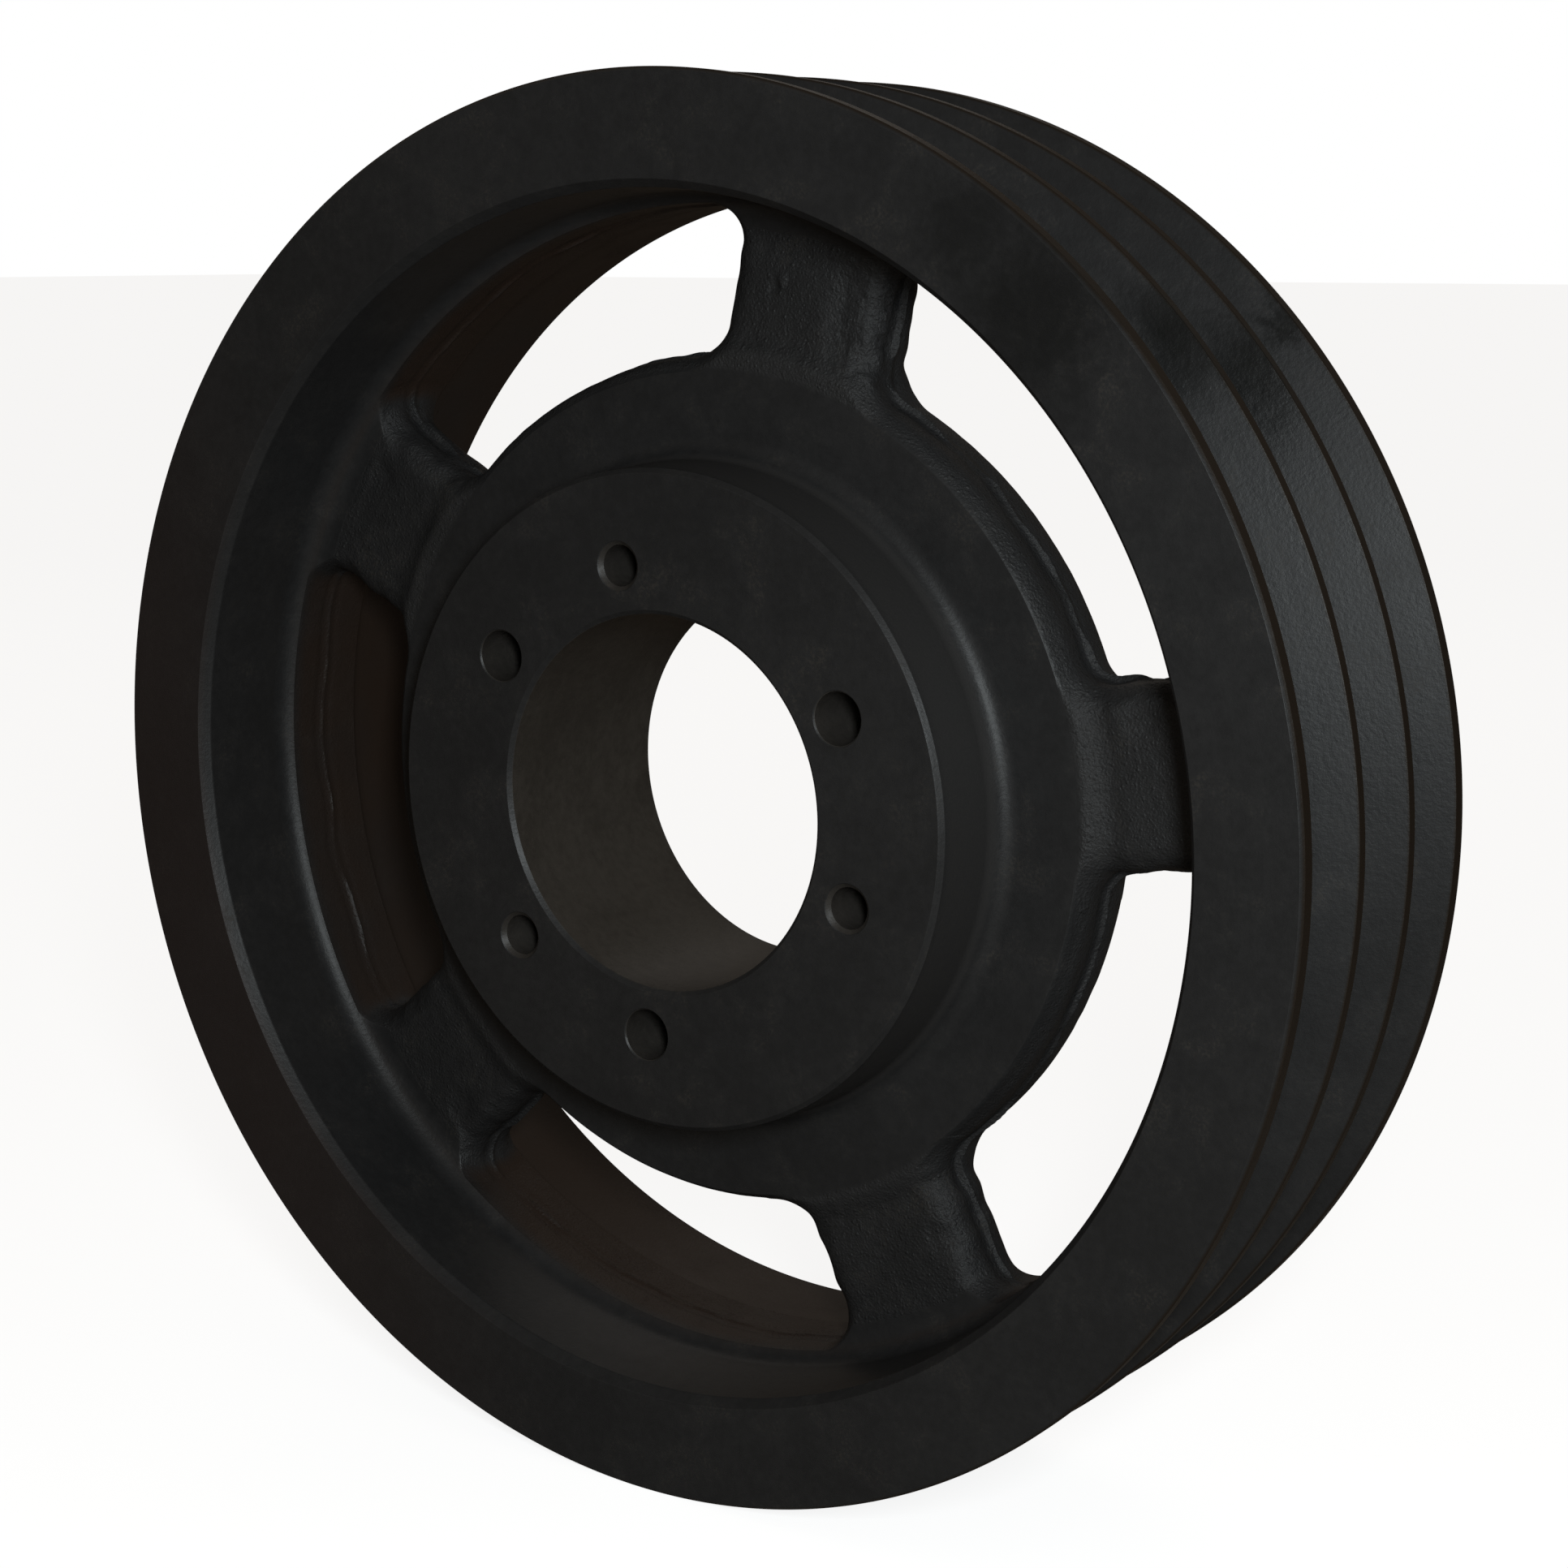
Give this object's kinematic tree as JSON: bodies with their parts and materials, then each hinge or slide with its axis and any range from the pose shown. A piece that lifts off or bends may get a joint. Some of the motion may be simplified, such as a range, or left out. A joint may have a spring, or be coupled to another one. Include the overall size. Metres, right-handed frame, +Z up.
{
  "type": "v-belt pulley",
  "caption": "Multi-groove V-belt sheave: a wide grooved rim joined by short cast arms to a heavy hub with a tapered bushing bore and screw holes.",
  "frame": {"origin": "on the spin axis, at the middle of the rim's width", "axes": "Y is the spin axis, with the front (recessed hub face, screw heads' side) towards -Y; +Z is up and +X is right, seen from the front"},
  "size_m": [0.4724, 0.1174, 0.4724],
  "materials": {
    "cast_iron_painted": "as-cast grey iron with black enamel, satin, rough to the touch",
    "machined_painted": "machined grey iron with black enamel, smooth satin"
  },
  "bodies": {
    "root": {"rim_band": "cast_iron_painted", "rib_front": "machined_painted", "rib_mid_front": "machined_painted", "rib_mid_rear": "machined_painted", "rib_rear": "machined_painted", "hub_boss": "machined_painted", "hub_web": "cast_iron_painted", "arm_1": "cast_iron_painted", "arm_2": "cast_iron_painted", "arm_3": "cast_iron_painted", "arm_4": "cast_iron_painted", "arm_5": "cast_iron_painted"}
  },
  "joints": []
}
